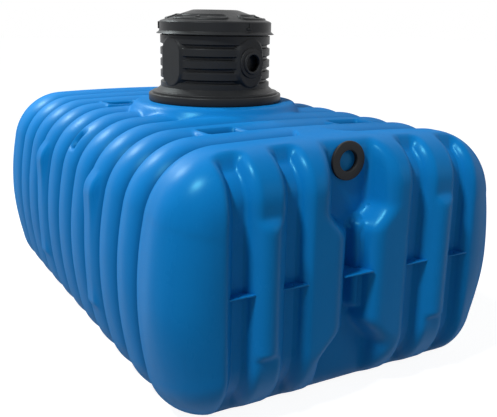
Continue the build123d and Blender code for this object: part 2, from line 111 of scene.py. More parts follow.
class Outline:
    """Cross-section through the ring crests: bowed sides, round corners, a slightly domed top."""

    def __init__(self):
        brow = math.tan(CROWN_TURN / 2)
        corners = TOP_CORNER + BASE_CORNER
        spare = CROWN - BASE - corners + corners * math.sin(SIDE_TURN)
        rise = spare - brow * (HALF_WIDTH - TOP_CORNER * math.cos(SIDE_TURN))
        self.side_radius = rise / (2 * math.sin(SIDE_TURN) - brow * (1 - math.cos(SIDE_TURN)))
        bow = self.side_radius * (1 - math.cos(SIDE_TURN))
        self.across = HALF_WIDTH - TOP_CORNER * math.cos(SIDE_TURN) - bow
        self.level = CROWN - TOP_CORNER - self.across * brow
        self.base_across = HALF_WIDTH - BASE_CORNER * math.cos(SIDE_TURN) - bow
        self.middle = self.level - (self.side_radius - TOP_CORNER) * math.sin(SIDE_TURN)
        self.crown_radius = self.across / math.sin(CROWN_TURN) + TOP_CORNER

    def distance(self, x, z):
        """Distance outside the outline, and how far its normal turns up or down, from -1 to 1."""
        x = np.abs(x)
        side = np.hypot(x - HALF_WIDTH + self.side_radius, z - self.middle) - self.side_radius
        crown = np.hypot(x, z - CROWN + self.crown_radius) - self.crown_radius
        d = np.maximum(np.maximum(side, crown), BASE - z)
        turned = np.where(side > np.maximum(crown, BASE - z), 0.0, np.where(crown > BASE - z, 1.0, -1.0))
        corners = (
            (self.across, self.level, TOP_CORNER, 1, math.pi / 2 - CROWN_TURN),
            (self.base_across, BASE + BASE_CORNER, BASE_CORNER, -1, math.pi / 2),
        )
        for across, level, radius, way, last in corners:
            dx, dz = x - across, way * (z - level)
            turn = np.arctan2(dz, dx)
            corner = (turn > SIDE_TURN) & (turn < last) & (dx > 0)
            d = np.where(corner, np.hypot(dx, dz) - radius, d)
            turned = np.where(corner, way * turn / (math.pi / 2), turned)
        return d, turned


OUTLINE = Outline()


def ring_inset(y):
    """How far the surface lies below the ring crests, with half a ring more at each end."""
    radius = ((PITCH / 2) ** 2 + RING_DEPTH**2) / (2 * RING_DEPTH)
    away = np.where(
        np.abs(y) < LAST_VALLEY,
        y - np.round(y / PITCH) * PITCH,
        np.maximum(LAST_VALLEY + PITCH / 2 - np.abs(y), 0),
    )
    return radius - np.sqrt(radius**2 - away**2)


def taper(y, turned):
    """How far the sides draw in towards both ends, with the top and the base left level."""
    along = np.clip((np.abs(y) - TAPER_START) / TAPER_RANGE, 0, 1) ** TAPER_CURVE
    return TAPER * along * (1 - ease(np.abs(turned) * 1.2))


def rounded_end(inward, endward, turned, z):
    """Distance outside an end whose edge is rounded, more at its sides and its foot than at its top."""
    foot = FOOT_ROUND * ease((FOOT_HEAD - z) / FOOT_RANGE)
    level = np.where(turned > 0, ROUND_TOP, ROUND_BASE)
    across = ROUND_SIDE + (level - ROUND_SIDE) * np.abs(turned) + foot
    along = END_ROUND + foot
    a = np.maximum(inward + across, 0) / across
    b = np.maximum(endward + along, 0) / along
    reach = np.hypot(a, b) + 1e-9
    scale = (across * a * a + along * b * b) / (reach * reach)
    return np.where((a > 0) & (b > 0), (reach - 1) * scale, np.maximum(inward, endward))


def groove_depth(x):
    """Depth of the four vertical grooves of an end, whose flanks round over into the ribs."""
    flank = GROOVE_MOUTH - GROOVE_FLOOR
    shares = [np.clip((GROOVE_MOUTH - np.abs(x - middle)) / flank, 0, 1) for middle in GROOVES]
    return sum(GROOVE_DEPTH * share**FLANK_CURVE for share in shares)


def column(x, endward, z):
    """Half-round column with a sloping head on the rib between two grooves."""
    across = (np.abs(x) - COLUMN) / COLUMN_HALF_WIDTH
    out = np.maximum(endward + COLUMN_ROOT, 0) / COLUMN_RISE
    section = (np.hypot(across, out) - 1) * 0.078
    head = np.maximum((z - COLUMN_TOP + endward) / 1.41, -COLUMN_BACK - endward)
    return soft_max(soft_max(section, head, 0.022), COLUMN_FOOT - z, 0.010)


def recess(x, y, z):
    """Distance from the middle recess of an end: wide at the inlet, waisted, spread at the foot."""
    head = (RECESS_HEAD - RECESS_WAIST) * ease((z - WAIST_SHOULDER) / SHOULDER_RANGE)
    foot = (RECESS_FOOT - RECESS_WAIST) * ease((WAIST_HIP - z) / HIP_RANGE)
    step = ease((END_FACE - STEP_DEPTH - np.abs(y)) / 0.012)
    step = step * ease((STEP_HALF_HEIGHT - np.abs(z - STEP_MIDDLE)) / 0.03)
    draft = RECESS_DRAFT * (np.abs(y) - END_FACE)
    half = RECESS_WAIST + head + foot + draft - STEP_WIDTH * step
    return soft_max((np.abs(x) - half) * 0.9, RECESS_FLOOR - np.abs(y), 0.03)


def upright_bar(x, y, z, ring):
    """Upright bar with a domed head that stands out of a ring on each side."""
    out = np.abs(x) - BAR_FACE
    section = block((out, y), (-BAR_DEPTH, ring * PITCH), (BAR_DEPTH - BAR_EDGE, BAR_HALF_WIDTH)) - BAR_EDGE
    head = np.maximum((z - BAR_TOP + BAR_LEAN * (out + 0.05)) / 1.56, z - BAR_TOP - 0.01)
    return soft_max(soft_max(section, head, 0.04), BAR_FOOT - z, 0.01)


def side_notch(x, y, z):
    """Distance from the notch in the middle ring of each side: a deep slot in a shallow ledge."""
    reach = 0.488
    slot = block(
        (np.abs(x), y, z),
        (NOTCH_WALL + reach, 0, NOTCH_FLOOR + reach),
        (reach, NOTCH_HALF_WIDTH, reach),
    )
    ledge = block((np.abs(x), y, z), (1.53, 0, 0.66), (reach, 0.064, 0.180))
    return slot - 0.012, ledge - 0.010


def pocket_tub(x, y, z, px, py):
    """Walls of a lifting pocket that stand in the valley around it."""
    return block((np.abs(x), y, z), (px, py, POCKET_FLOOR), (0.128, 0.092, 0.070)) - 0.018


def pocket_way(x, y, z, px, py):
    """Space of a lifting pocket, with leaning walls."""
    space = block((np.abs(x), y, z), (px, py, POCKET_FLOOR + 1.0), (0.09, 0.065, 0.99))
    return space - 0.010 - POCKET_LEAN * (z - POCKET_FLOOR)


def platform(x, y, z):
    """Round platform under the riser, cut off below the rings."""
    cone = (np.hypot(x, y) - PLATFORM_RADIUS - (PLATFORM - z) * PLATFORM_LEAN) * 0.855
    return soft_max(soft_max(z - PLATFORM, cone, 0.02), 0.55 - z, 0.01)


def bridge(x, y, z):
    """Wedge across the last valley behind the inlet."""
    sides = (np.abs(x) - np.interp(y, BRIDGE_ENDS, BRIDGE_HALF_WIDTHS)) * 0.9
    ends = soft_max(BRIDGE_ENDS[0] - y, y - BRIDGE_ENDS[1], 0.012)
    return soft_max(soft_max(soft_max(z - BRIDGE_TOP, sides, 0.012), ends, 0.012), 0.5 - z, 0.01)


def tank(x, y, z):
    """Distance outside the tank's skin, heights from the parting plane."""
    outline, turned = OUTLINE.distance(x, z)
    endward = np.abs(y) - END_FACE
    d = rounded_end(outline + ring_inset(y) + taper(y, turned), endward, turned, z)
    d = d + groove_depth(x) * ease((np.abs(y) - GROOVE_HEAD) / GROOVE_HEAD_RANGE)
    d = soft_max(d, -recess(x, y, z), 0.06)
    d = soft_min(d, column(x, endward, z), 0.010)
    for ring in BAR_RINGS:
        d = soft_min(d, upright_bar(x, y, z, ring), 0.012)
    for cut in side_notch(x, y, z):
        d = soft_max(d, -cut, 0.010)
    for place in POCKETS:
        d = soft_min(d, pocket_tub(x, y, z, *place), 0.008)
        d = soft_max(d, -pocket_way(x, y, z, *place), 0.010)
    d = soft_min(d, platform(x, y, z), 0.018)
    return soft_min(d, bridge(x, y, z), 0.012)


def lines(keys, step):
    """Positions through the keys, no further apart than the step."""
    found = []
    for first, last in zip(keys, keys[1:]):
        count = max(1, math.ceil((last - first) / step - 1e-6))
        found += [first + (last - first) * i / count for i in range(count)]
    return np.array(found + [keys[-1]])


def spread(keys, step, low_turns, high_turns):
    """Grid lines as inner position and slope: straight through the keys, then fanned round a corner."""
    inner = lines(keys, step)
    low, high = [np.tan(np.linspace(0, math.pi / 4, turns + 1)[1:]) for turns in (low_turns, high_turns)]
    low = low[::-1]
    position = np.concatenate([np.full(len(low), keys[0]), inner, np.full(len(high), keys[-1])])
    slope = np.concatenate([-low, np.zeros(len(inner)), high])
    return position, slope


def trace(field, origin, heading, far, near, steps=40):
    """The outermost point of a field on each ray, searched from far to near."""
    high = np.full(len(origin), far)
    low = np.full(len(origin), near)
    found = np.zeros(len(origin), bool)
    reach = np.linspace(far, near, steps)
    for outer, inner in zip(reach, reach[1:]):
        p = origin + heading * inner
        hit = (field(p[:, 0], p[:, 1], p[:, 2]) < 0) & ~found
        high[hit], low[hit] = outer, inner
        found |= hit
    for _ in range(14):
        middle = (high + low) / 2
        p = origin + heading * middle[:, None]
        inside = field(p[:, 0], p[:, 1], p[:, 2]) < 0
        low = np.where(inside, middle, low)
        high = np.where(inside, high, middle)
    return origin + heading * ((high + low) / 2)[:, None]


def boxed_grid(field, x_lines, y_lines, z_lines, top):
    """Mesh of half the tank, from rays that leave a block within it through five of its faces."""
    points, faces = [], []
    base = 0
    sheets = [(x_lines, y_lines, 2, top)]
    sheets += [(z_lines, y_lines, 0, side) for side in (-1, 1)]
    sheets += [(x_lines, z_lines, 1, side) for side in (-1, 1)]
    order = {2: (0, 1), 0: (2, 1), 1: (0, 2)}
    edge = {0: x_lines[0].max(), 1: y_lines[0].max(), 2: z_lines[0][-1] if top > 0 else z_lines[0][0]}
    for (a_pos, a_tan), (b_pos, b_tan), axis, side in sheets:
        na, nb = len(a_pos), len(b_pos)
        origin, heading = np.zeros((na, nb, 3)), np.zeros((na, nb, 3))
        first, second = order[axis]
        origin[..., first], origin[..., second] = a_pos[:, None], b_pos[None, :]
        origin[..., axis] = edge[axis] if axis == 2 else side * edge[axis]
        heading[..., first], heading[..., second], heading[..., axis] = a_tan[:, None], b_tan[None, :], side
        heading /= np.linalg.norm(heading, axis=2, keepdims=True)
        points.append(trace(field, origin.reshape(-1, 3), heading.reshape(-1, 3), far=0.42, near=0.01))
        i, j = np.meshgrid(np.arange(na - 1), np.arange(nb - 1), indexing="ij")
        corner = (base + i * nb + j).ravel()
        quad = np.stack([corner, corner + nb, corner + nb + 1, corner + 1], axis=1)
        inside_out = (side < 0) == (axis == 2)
        faces.append(quad[:, ::-1] if inside_out else quad)
        base += na * nb
    return np.concatenate(points), np.concatenate(faces)


def mesh_object(name, points, faces, merge=2e-5):
    """A smooth-shaded object whose doubled points are merged."""
    mesh = bpy.data.meshes.new(name)
    mesh.from_pydata([tuple(p) for p in points], [], [tuple(int(v) for v in f) for f in faces])
    work = bmesh.new()
    work.from_mesh(mesh)
    bmesh.ops.remove_doubles(work, verts=work.verts, dist=merge)
    work.to_mesh(mesh)
    work.free()
    mesh.polygons.foreach_set("use_smooth", [True] * len(mesh.polygons))
    piece = bpy.data.objects.new(name, mesh)
    bpy.context.scene.collection.objects.link(piece)
    return piece


def open_hole(piece, centre, axis, radius, beyond):
    """Open a round hole in the skin that lies beyond a distance along the axis, its rim on the circle."""
    work = bmesh.new()
    work.from_mesh(piece.data)
    centre, axis = Vector(centre), Vector(axis)
    inside = set()
    for vert in work.verts:
        away = vert.co - centre
        along = away.dot(axis)
        if along > beyond and (away - axis * along).length < radius:
            inside.add(vert)
    gone = [face for face in work.faces if all(vert in inside for vert in face.verts)]
    bmesh.ops.delete(work, geom=gone, context="FACES")
    for vert in [vert for vert in inside if vert.is_valid]:
        away = vert.co - centre
        along = axis * away.dot(axis)
        vert.co = centre + along + (away - along).normalized() * radius
    loose = [vert for vert in work.verts if not vert.link_faces]
    bmesh.ops.delete(work, geom=loose, context="VERTS")
    work.to_mesh(piece.data)
    work.free()
    piece.data.polygons.foreach_set("use_smooth", [True] * len(piece.data.polygons))


def rounded_profile(points, steps):
    """A profile with its corners rounded: each point gives radius, height and, if round, a fillet."""
    smooth = []
    count = len(points)
    for i, point in enumerate(points):
        here = Vector(point[:2])
        fillet = point[2] if len(point) > 2 else 0.0
        if not fillet:
            smooth.append((here.x, here.y))
            continue
        before, after = Vector(points[i - 1][:2]), Vector(points[(i + 1) % count][:2])
        back, on = (before - here).normalized(), (after - here).normalized()
        half = back.angle(on) / 2
        cut = fillet / math.tan(half)
        centre = here + (back + on).normalized() * fillet / math.sin(half)
        first, last = here + back * cut - centre, here + on * cut - centre
        turn = first.angle_signed(last)
        for step in range(steps + 1):
            arm = Matrix.Rotation(-turn * step / steps, 2) @ first
            smooth.append((centre.x + arm.x, centre.y + arm.y))
    return smooth


def turned(name, points, sides=144, axis=None, steps=3):
    """Closed profile turned about an axis."""
    profile = rounded_profile(points, steps)
    place = axis or Matrix()
    count = len(profile)
    verts, faces = [], []
    for s in range(sides):
        turn = 2 * math.pi * s / sides
        for radius, height in profile:
            verts.append(place @ Vector((radius * math.cos(turn), radius * math.sin(turn), height)))
    for s in range(sides):
        for i in range(count):
            a, b = s * count + i, s * count + (i + 1) % count
            c, d = ((s + 1) % sides) * count + (i + 1) % count, ((s + 1) % sides) * count + i
            faces.append((a, d, c, b))
    piece = mesh_object(name, verts, faces)
    return settle(piece)


def prism(name, loops):
    """Solid from outlines set above each other, each a closed run of points; the ends are filled."""
    verts = [point for loop in loops for point in loop]
    count = len(loops[0])
    faces = [tuple(range(count))[::-1], tuple(range(len(verts) - count, len(verts)))]
    for row in range(len(loops) - 1):
        for i in range(count):
            j = (i + 1) % count
            faces.append((row * count + i, row * count + j, (row + 1) * count + j, (row + 1) * count + i))
    return mesh_object(name, verts, faces, 1e-7)


def bevelled(piece, width, segments=2):
    """A piece with its sharper edges rounded."""
    work = bmesh.new()
    work.from_mesh(piece.data)
    bmesh.ops.recalc_face_normals(work, faces=work.faces)
    sharp = [edge for edge in work.edges if len(edge.link_faces) == 2 and edge.calc_face_angle(0) > 0.6]
    bmesh.ops.bevel(work, geom=sharp, offset=width, segments=segments, affect="EDGES", profile=0.5)
    work.to_mesh(piece.data)
    work.free()
    return piece


def settle(piece, angle=32):
    """Outward normals, and edges sharper than the angle kept crisp."""
    work = bmesh.new()
    work.from_mesh(piece.data)
    bmesh.ops.recalc_face_normals(work, faces=work.faces)
    for edge in work.edges:
        if len(edge.link_faces) == 2 and edge.calc_face_angle(0) > math.radians(angle):
            edge.smooth = False
    work.to_mesh(piece.data)
    work.free()
    return piece


class Term:
    """A value inside a node tree, joined by ordinary arithmetic."""

    def __init__(self, tree, socket):
        self.tree, self.socket = tree, socket

    def joined(self, operation, other, swapped=False):
        """The Math node of two values, in the other order where swapped."""
        first, second = (other, self) if swapped else (self, other)
        return node(self.tree, "ShaderNodeMath", {"operation": operation}, {0: first, 1: second})

    def __add__(self, other):
        return self.joined("ADD", other)

    def __sub__(self, other):
        return self.joined("SUBTRACT", other)

    def __rsub__(self, other):
        return self.joined("SUBTRACT", other, True)

    def __mul__(self, other):
        return self.joined("MULTIPLY", other)

    def __truediv__(self, other):
        return self.joined("DIVIDE", other)

    def __rtruediv__(self, other):
        return self.joined("DIVIDE", other, True)

    def __pow__(self, other):
        return self.joined("POWER", other)

    __radd__, __rmul__ = __add__, __mul__

    def single(self, operation):
        """The Math node of this value alone."""
        return node(self.tree, "ShaderNodeMath", {"operation": operation}, {0: self})

    def at_least(self, other):
        return self.joined("MAXIMUM", other)

    def at_most(self, other):
        return self.joined("MINIMUM", other)

    def clamped(self):
        return node(self.tree, "ShaderNodeClamp", {}, {0: self})


def feed(tree, socket, value):
    """Link a term to a socket, or set the socket's own value."""
    if isinstance(value, Term):
        tree.links.new(value.socket, socket)
    else:
        socket.default_value = value


def node(tree, kind, settings=None, inputs=None, output=0):
    """One node: its settings first, then the values or links of its sockets."""
    made = tree.nodes.new(kind)
    for key, value in (settings or {}).items():
        setattr(made, key, value)
    for key, value in (inputs or {}).items():
        feed(tree, made.inputs[key], value)
    return Term(tree, made.outputs[output])


def plastic(name):
    """A new material, its tree and the place on the object that its patterns read."""
    material = bpy.data.materials.new(name)
    material.use_nodes = True
    return material, material.node_tree, node(material.node_tree, "ShaderNodeTexCoord", output="Object")


def noise(place, scale, detail=3.0, roughness=0.5, stretch=(1, 1, 1)):
    """Soft random pattern between 0 and 1, stretched along the axes with small factors."""
    tree = place.tree
    pulled = node(tree, "ShaderNodeMapping", {}, {"Vector": place, "Scale": stretch})
    inputs = {"Vector": pulled, "Scale": scale, "Detail": detail, "Roughness": roughness}
    return node(tree, "ShaderNodeTexNoise", {}, inputs)


def blend(amount, first, second):
    """Mix of two colours."""
    inputs = {"Factor": amount, 6: first, 7: second}
    return node(amount.tree, "ShaderNodeMix", {"data_type": "RGBA"}, inputs, 2)


def bump(height, strength, distance):
    """Relief that is finer than the mesh."""
    inputs = {"Strength": strength, "Distance": distance, "Height": height}
    return node(height.tree, "ShaderNodeBump", {}, inputs)


def finish(material, **sockets):
    """Feed the sockets of a material's surface, named with underscores for spaces."""
    surface = material.node_tree.nodes["Principled BSDF"]
    for name, value in sockets.items():
        feed(material.node_tree, surface.inputs[name.replace("_", " ")], value)
    return material


def rule(name, **sockets):
    """A geometry tree and its inputs by name, each given with its kind of socket."""
    tree = bpy.data.node_groups.new(name, "GeometryNodeTree")
    tree.interface.new_socket("Geometry", in_out="INPUT", socket_type="NodeSocketGeometry")
    tree.interface.new_socket("Geometry", in_out="OUTPUT", socket_type="NodeSocketGeometry")
    for title, kind in sockets.items():
        tree.interface.new_socket(title.replace("_", " "), in_out="INPUT", socket_type="NodeSocket" + kind)
    entry = tree.nodes.new("NodeGroupInput")
    return tree, {socket.name: Term(tree, socket) for socket in entry.outputs if socket.name}


def close_rule(tree, given, geometry):
    """End a tree in Realize Instances and Set Material."""
    real = node(tree, "GeometryNodeRealizeInstances", {}, {"Geometry": geometry})
    dressed = node(tree, "GeometryNodeSetMaterial", {}, {"Geometry": real, "Material": given["Material"]})
    tree.links.new(dressed.socket, tree.nodes.new("NodeGroupOutput").inputs["Geometry"])
    return tree


def follow(piece, tree, **values):
    """Shape a piece by a tree with the given inputs, and keep the result as its plain mesh."""
    modifier = piece.modifiers.new("rule", "NODES")
    modifier.node_group = tree
    for item in tree.interface.items_tree:
        key = item.name.replace(" ", "_")
        if item.in_out == "INPUT" and key in values:
            modifier[item.identifier] = values[key]
    found = piece.evaluated_get(bpy.context.evaluated_depsgraph_get())
    mesh = bpy.data.meshes.new_from_object(found)
    piece.modifiers.remove(modifier)
    piece.data = mesh
    mesh.polygons.foreach_set("use_smooth", [True] * len(mesh.polygons))
    return piece


def around_axis():
    """Copies of a piece turned evenly about the riser's axis."""
    tree, given = rule("copies around the axis", Copies="Int", First_Turn="Float", Material="Material")
    points = node(tree, "GeometryNodePoints", {}, {"Count": given["Copies"]})
    index = node(tree, "GeometryNodeInputIndex")
    turn = given["First Turn"] + index * (2 * math.pi) / given["Copies"]
    turns = node(tree, "ShaderNodeCombineXYZ", {}, {"Z": turn})
    inputs = {"Points": points, "Instance": given["Geometry"], "Rotation": turns}
    return close_rule(tree, given, node(tree, "GeometryNodeInstanceOnPoints", {}, inputs))


def across_ends():
    """Copies of a piece in pairs across the front end, and as many turned about for the back end."""
    tree, given = rule(
        "copies across both ends",
        Copies="Int",
        Pitch="Float",
        Pair_Pitch="Float",
        First="Float",
        Material="Material",
    )
    points = node(tree, "GeometryNodePoints", {}, {"Count": given["Copies"] * 2})
    index = node(tree, "GeometryNodeInputIndex")
    place = index.joined("MODULO", given["Copies"])
    second = place.joined("MODULO", 2)
    pair = (place - second) / 2
    back = (index - place) / given["Copies"]
    across = (given["First"] + second * given["Pitch"] + pair * given["Pair Pitch"]) * (1 - back * 2)
    offsets = node(tree, "ShaderNodeCombineXYZ", {}, {"X": across})
    turns = node(tree, "ShaderNodeCombineXYZ", {}, {"Z": back * math.pi})
    placed = node(tree, "GeometryNodeSetPosition", {}, {"Geometry": points, "Offset": offsets})
    inputs = {"Points": placed, "Instance": given["Geometry"], "Rotation": turns}
    return close_rule(tree, given, node(tree, "GeometryNodeInstanceOnPoints", {}, inputs))


SEAM_TURN = 0.3  # how far the shaft's seam lies before its first pad


def ribbed_shaft():
    """Tube with notches between its ribs, and flat oval pads whose sides lean down to the ribs."""
    tree, given = rule(
        "ribbed shaft with oval pads",
        Sides="Int",
        Rows="Int",
        Foot="Float",
        Height="Float",
        Spigot_Height="Float",
        Crest_Radius="Float",
        Spigot_Radius="Float",
        Bore_Radius="Float",
        Notch_Depth="Float",
        Notch_Half_Height="Float",
        First_Notch="Float",
        Notch_Pitch="Float",
        Notches="Int",
        Pads="Int",
        First_Pad="Float",
        Pad_Face="Float",
        Pad_Half_Width="Float",
        Pad_Half_Straight="Float",
        Pad_Lean="Float",
        Material="Material",
    )
    rows, whole = given["Rows"], given["Height"] + given["Spigot Height"]
    inputs = {"Size X": 1.0, "Size Y": 1.0, "Vertices X": given["Sides"] + 1, "Vertices Y": rows + 4}
    sheet = node(tree, "GeometryNodeMeshGrid", {}, inputs)
    place = node(tree, "ShaderNodeSeparateXYZ", {}, {0: node(tree, "GeometryNodeInputPosition")})
    across = Term(tree, place.socket.node.outputs["X"]) + 0.5
    row = (Term(tree, place.socket.node.outputs["Y"]) + 0.5) * (rows + 3)
    inside = (row - rows).clamped() - (row - rows - 2).clamped()
    up = ((row / rows).at_most(1.0) - (row - rows - 1).clamped()) * whole
    turn = across * (2 * math.pi) + given["First Pad"] - SEAM_TURN

    level = (up - given["First Notch"]) / given["Notch Pitch"]
    nearest = level.single("ROUND").at_least(0.0).at_most(given["Notches"] - 1)
    away = (level - nearest).single("ABSOLUTE") * given["Notch Pitch"]
    inward = given["Notch Half Height"] - away
    flank = {0: inward, 1: 0.0, 2: given["Notch Half Height"] * 0.6, 3: 0.0, 4: 1.0}
    notch = node(tree, "ShaderNodeMapRange", {"interpolation_type": "SMOOTHSTEP"}, flank)
    ribs = given["Crest Radius"] - notch * given["Notch Depth"]

    slot = (2 * math.pi) / given["Pads"]
    steps = ((turn - given["First Pad"]) / slot).single("ROUND")
    off = turn - given["First Pad"] - steps * slot
    along = off.single("TANGENT") * given["Pad Face"]
    over = ((up - given["Height"] / 2).single("ABSOLUTE") - given["Pad Half Straight"]).at_least(0.0)
    oval = (along * along + over * over) ** 0.5 - given["Pad Half Width"]
    pads = (given["Pad Face"] - oval.at_least(0.0) / given["Pad Lean"]) / off.single("COSINE")
    skin = node(tree, "ShaderNodeMath", {"operation": "SMOOTH_MAX"}, {0: ribs, 1: pads, 2: 0.003})
    spigot = (up - given["Height"] - 0.0001).joined("GREATER_THAN", 0.0)
    outer = skin + (given["Spigot Radius"] - skin) * spigot
    radius = outer + (given["Bore Radius"] - outer) * inside
    x, y = turn.single("COSINE") * radius, turn.single("SINE") * radius
    around = node(tree, "ShaderNodeCombineXYZ", {}, {0: x, 1: y, 2: up + given["Foot"]})
    tube = node(tree, "GeometryNodeSetPosition", {}, {"Geometry": sheet, "Position": around})
    closed = node(tree, "GeometryNodeMergeByDistance", {}, {"Geometry": tube, "Distance": 0.00002})
    return close_rule(tree, given, closed)


def blue_polyethylene():
    """Satin blue of the rotationally moulded tank, a little uneven in tone and gloss, with painted shade
    darkening its ring valleys.
    """
    material, tree, place = plastic("blue polyethylene")
    broad, cloud, grain = noise(place, 1.6), noise(place, 9, 4), noise(place, 380, 2, 0.6)
    streak = noise(place, 26, 3, 0.6, stretch=(1, 1, 0.12))
    colour = blend((broad * 1.6 - 0.3).clamped(), (0.0030, 0.175, 0.50, 1), (0.0045, 0.205, 0.57, 1))
    colour = blend((cloud * 1.3 - 0.5).clamped() * 0.25, colour, (0.007, 0.22, 0.63, 1))
    colour = blend((streak * 2.4 - 1.2).clamped() * 0.16, colour, (0.002, 0.12, 0.42, 1))
    # painted shade: the colour turns deep blue in the ring valleys, read from the attribute that the skin
    # stores
    valley = node(tree, "ShaderNodeAttribute", {"attribute_name": "valley"}, output="Fac")
    colour = blend(valley * 0.9, colour, (0.0012, 0.050, 0.175, 1))
    edge = node(tree, "ShaderNodeLayerWeight", {}, {"Blend": 0.5}, "Facing")
    roughness = 0.20 + cloud * 0.07 + streak * 0.05 + valley * 0.2 + edge * edge * 0.6
    return finish(
        material,
        Base_Color=colour,
        Roughness=roughness.clamped(),
        Normal=bump(grain * 0.5 + cloud * 0.8 + streak * 0.25, 0.10, 0.004),
        IOR=1.5,
        Specular_IOR_Level=0.16,
        Specular_Tint=(0.22, 0.88, 1.0, 1),
    )


def black_polyethylene():
    """Matt black of the riser and its cover."""
    material, tree, place = plastic("black polyethylene")
    broad, cloud, grain = noise(place, 4), noise(place, 34, 4), noise(place, 520, 2, 0.6)
    colour = blend((broad * 1.4 - 0.2).clamped(), (0.0115, 0.0118, 0.0128, 1), (0.021, 0.0215, 0.023, 1))
    return finish(
        material,
        Base_Color=colour,
        Roughness=0.34 + cloud * 0.12,
        Normal=bump(grain * 0.7 + cloud * 0.6, 0.15, 0.002),
        Specular_IOR_Level=0.16,
    )


def seal_rubber():
    """Black rubber of the seals and the gasket."""
    material, tree, place = plastic("seal rubber")
    cloud, grain = noise(place, 18), noise(place, 700, 2)
    colour = blend(cloud, (0.006, 0.006, 0.007, 1), (0.016, 0.016, 0.017, 1))
    return finish(
        material,
        Base_Color=colour,
        Roughness=0.5 + cloud * 0.2,
        Normal=bump(grain, 0.1, 0.001),
        Specular_IOR_Level=0.25,
    )


BLUE, BLACK, RUBBER = blue_polyethylene(), black_polyethylene(), seal_rubber()


def dress(piece, material, body, slot, *nodes):
    """Give a piece its material, its body and the nodes that it stands for."""
    piece.data.materials.clear()
    piece.data.materials.append(material)
    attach(piece, body)
    if nodes:
        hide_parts(*nodes)


RING_LINES = [step * PITCH / 2 for step in range(-RINGS, RINGS + 1)]
GROOVE_LINES = [
    middle + way * edge for middle in GROOVES for way in (-1, 1) for edge in (GROOVE_FLOOR, GROOVE_MOUTH)
]
RECESS_LINES = [way * edge for way in (-1, 1) for edge in (0.05, RECESS_WAIST, RECESS_HEAD)]
X_KEYS = sorted([-0.83, 0, 0.83] + GROOVE_LINES + RECESS_LINES)
Y_KEYS = [-1.365] + RING_LINES + [1.365]
UPPER_KEYS, LOWER_KEYS = [0, 0.40], [-0.438, 0]
SHADE_RUN_OUT, RISER_CLEAR, CLEAR_RANGE = 0.12, 0.62, 0.06  # where the painted shade of the ring valleys ends


def skin(name, thickness, top, steps, corner_steps):
    """Upper or lower half of the tank's skin, or its lining at a thickness, with painted shade marked in the
    ring valleys.
    """

    def field(x, y, z):
        return tank(x, y, z) + thickness

    x_step, y_step, z_step = steps
    x_lines = spread(X_KEYS, x_step, corner_steps, corner_steps)
    y_lines = spread(Y_KEYS, y_step, corner_steps, corner_steps)
    if top > 0:
        z_lines = spread(UPPER_KEYS, z_step, 0, corner_steps)
    else:
        z_lines = spread(LOWER_KEYS, z_step, corner_steps, 0)
    points, faces = boxed_grid(field, x_lines, y_lines, z_lines, top)
    piece = mesh_object(name, points, faces[:, ::-1] if thickness else faces)
    place = np.zeros(3 * len(piece.data.vertices))
    piece.data.vertices.foreach_get("co", place)
    x, y, z = place.reshape(-1, 3).T
    outline, turned = OUTLINE.distance(x, z)
    # painted shade: depth below the ring crests, kept as a point attribute that darkens the colour in the
    # valleys
    below = -rounded_end(outline + taper(y, turned), np.abs(y) - END_FACE, turned, z) / RING_DEPTH
    ringed = np.abs(y) < LAST_VALLEY + SHADE_RUN_OUT
    under_riser = ease((RISER_CLEAR - np.hypot(x, y)) / CLEAR_RANGE) * (z > 0.5)
    valley = np.clip(below, 0, 1) ** 2 * ringed * (1 - under_riser)
    marks = piece.data.attributes.new("valley", "FLOAT", "POINT")
    marks.data.foreach_set("value", valley.astype(np.float32))
    piece.data.transform(Matrix.Translation((0, 0, PARTING)))
    return piece


UPPER_STEPS, LOWER_STEPS, LINING_STEPS = (0.0125, 0.0125, 0.016), (0.0145, 0.0145, 0.022), (0.05, 0.034, 0.05)
upper_skin = skin("tank_upper_skin", 0, 1, UPPER_STEPS, corner_steps=12)
lower_skin = skin("tank_lower_skin", 0, -1, LOWER_STEPS, corner_steps=8)
upper_lining = skin("tank_upper_lining", WALL, 1, LINING_STEPS, corner_steps=5)
lower_lining = skin("tank_lower_lining", WALL, -1, LINING_STEPS, corner_steps=5)
inlet_centre = (0, 0, PARTING + INLET)
for shell, neck_hole in ((upper_skin, NECK), (upper_lining, NECK - WALL)):
    open_hole(shell, (0, 0, 0), (0, 0, 1), neck_hole, 1.0)
    open_hole(shell, inlet_centre, (0, -1, 0), INLET_HOLE, 1.0)
neck = turned(
    "tank_neck",
    [
        (NECK - WALL, PARTING + 0.70),
        (NECK, PARTING + 0.70),
        (NECK, PARTING + NECK_TOP, 0.003),
        (NECK - WALL, PARTING + NECK_TOP, 0.003),
    ],
)
SECTIONS = ("front_end", "front_section", "manway_section", "back_section", "back_end")
dress(upper_skin, BLUE, "tank", "blue_plastic", *["upper_" + section for section in SECTIONS])
dress(lower_skin, BLUE, "tank", "blue_plastic", *["lower_" + section for section in SECTIONS])
for piece in (upper_lining, lower_lining, neck):
    dress(piece, BLUE, "tank", "blue_plastic")

# Riser: gasket, flange, collar and shaft
GASKET_FOOT = PARTING + PLATFORM
FLANGE_FOOT = GASKET_FOOT + 0.004
LEDGE_FOOT = FLANGE_FOOT + 0.050
WAIST_FOOT = LEDGE_FOOT + 0.014
COLLAR_STEP = PARTING + 0.804
SHAFT_FOOT = PARTING + 0.838
SHAFT_TOP = SHAFT_FOOT + 0.340
SPIGOT_TOP = SHAFT_TOP + 0.077
GASKET_INNER, GASKET_OUTER = 0.402, 0.440
COLLAR_INNER, COLLAR_WAIST, LEDGE_RADIUS, FLANGE_RADIUS = NECK + 0.004, 0.406, 0.428, 0.453
CREST_RADIUS, SPIGOT_RADIUS, BORE_RADIUS = 0.371, 0.358, 0.344

